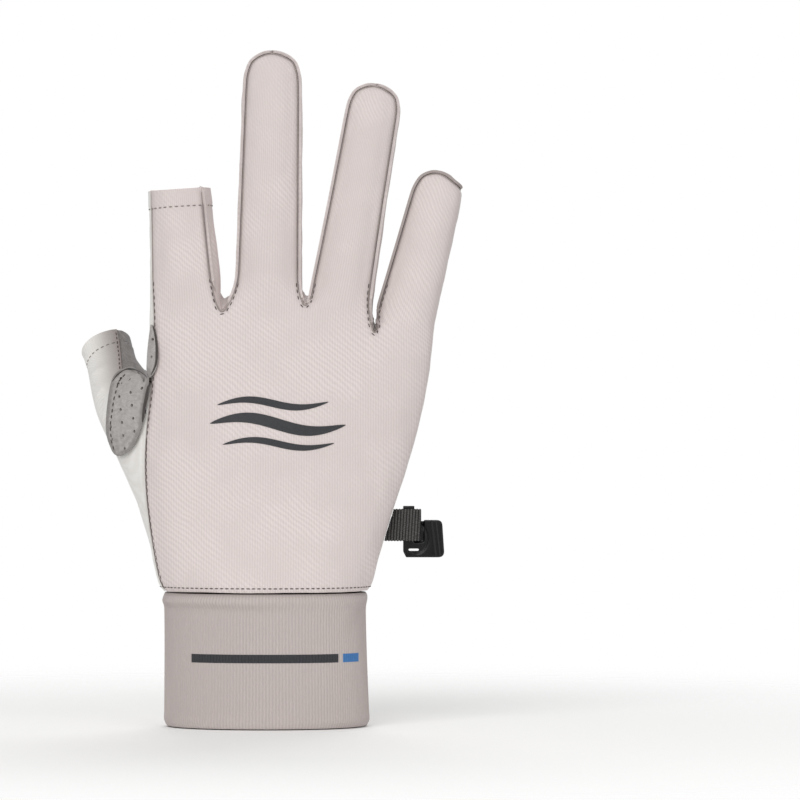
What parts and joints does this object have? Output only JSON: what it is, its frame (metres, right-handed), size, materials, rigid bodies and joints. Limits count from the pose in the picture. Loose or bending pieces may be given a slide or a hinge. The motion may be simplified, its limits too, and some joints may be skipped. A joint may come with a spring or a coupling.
{
  "type": "fishing glove",
  "caption": "Thin right-hand fishing glove with a perforated palm, an open thumb and index finger, a rib cuff and a side hook clip.",
  "frame": {"origin": "centre of the wrist opening, in the plane of the cuff's lower edge", "axes": "+Z from the wrist to the fingertips, -Y out of the back of the hand, -X towards the thumb"},
  "size_m": [0.1369, 0.0637, 0.24],
  "materials": {
    "light_knit": "fine stretch knit, warm light grey",
    "pale_knit": "fine stretch knit, pale grey white",
    "grey_suede": "perforated microfibre suede, mid grey",
    "black_webbing": "ribbed webbing, black",
    "black_plastic": "moulded plastic, black"
  },
  "bodies": {
    "root": {"back_panel": "light_knit", "palm_panel": "grey_suede", "finger_gusset_1": "light_knit", "finger_gusset_2": "light_knit", "finger_gusset_3": "light_knit", "index_side_strip": "light_knit", "thumb_back_panel": "pale_knit", "thumb_front_panel": "grey_suede", "web_patch": "grey_suede", "cuff": "light_knit", "strap_loop": "black_webbing", "clip": "black_plastic"}
  },
  "joints": []
}
